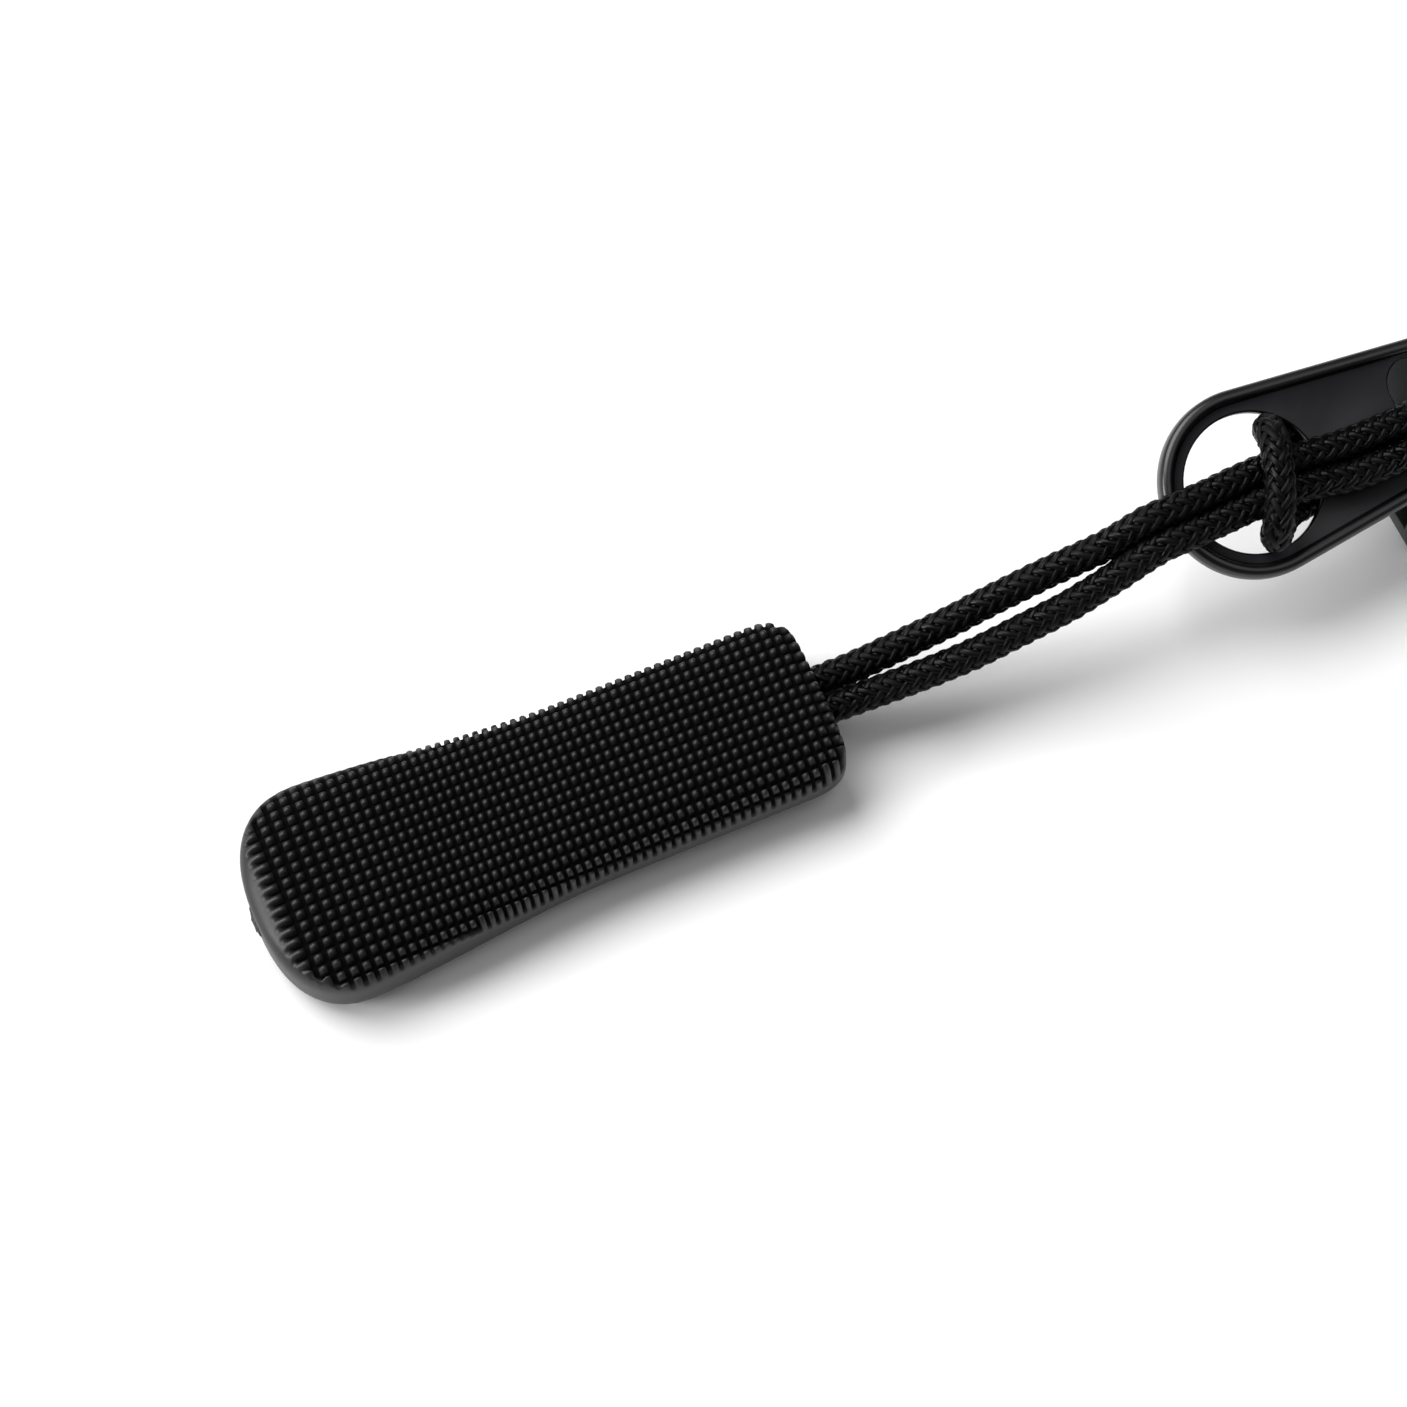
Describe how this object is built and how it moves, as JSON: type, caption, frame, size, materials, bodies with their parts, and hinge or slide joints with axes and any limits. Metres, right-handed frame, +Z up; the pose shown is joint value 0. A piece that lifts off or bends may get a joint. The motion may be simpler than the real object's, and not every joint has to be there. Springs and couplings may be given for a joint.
{
  "type": "zipper slider with corded pull",
  "caption": "Automatic-lock zipper slider with a cast ring tab and a pegged rubber grip on a doubled braided cord.",
  "frame": {"origin": "centre of the slider's underside", "axes": "+Z up out of the slider's top wing, +X towards the slider's nose, the pull lies along -X"},
  "size_m": [0.0868, 0.0144, 0.012],
  "materials": {
    "slider_enamel": "semi-gloss black enamel on die-cast zinc",
    "tab_enamel": "gloss black enamel on die-cast zinc, satin floor",
    "spring_bronze": "plain rolled strip",
    "pawl_steel": "blackened steel",
    "cord_braid": "braided black polyester",
    "sleeve_aluminium": "plain drawn tube, crimped",
    "grip_rubber": "matt moulded rubber with a peg grid"
  },
  "bodies": {
    "slider": {"slider_body": "slider_enamel", "cap": "slider_enamel", "leaf_spring": "spring_bronze"},
    "pawl": {"lock_pawl": "pawl_steel"},
    "tab": {"pull_tab": "tab_enamel", "cord_hitch": "cord_braid", "cord_leg_far": "cord_braid", "cord_leg_near": "cord_braid"},
    "grip": {"grip": "grip_rubber", "cord_end_far": "cord_braid", "cord_end_near": "cord_braid", "crimp_sleeve": "sleeve_aluminium"}
  },
  "joints": [
    {"name": "tab_swing", "type": "hinge", "parent": "slider", "child": "tab", "pos_m": [0.0013, 0, 0.0078], "axis": [0, 0.9397, 0.342], "range_deg": [0, 178]},
    {"name": "pawl_lift", "type": "hinge", "parent": "slider", "child": "pawl", "pos_m": [0.00315, 0, 0.00615], "axis": [0, 1, 0], "range_deg": [0, 9], "stiffness_Nm_per_rad": 0.01, "springref_deg": -8.59, "deforming": ["leaf_spring"]},
    {"name": "cord_flex", "type": "hinge", "parent": "tab", "child": "grip", "pos_m": [-0.0334, -0.0006, 0.0054], "axis": [0, 1, 0], "range_deg": [-75, 75], "deforming": ["cord_leg_far", "cord_leg_near"]}
  ]
}
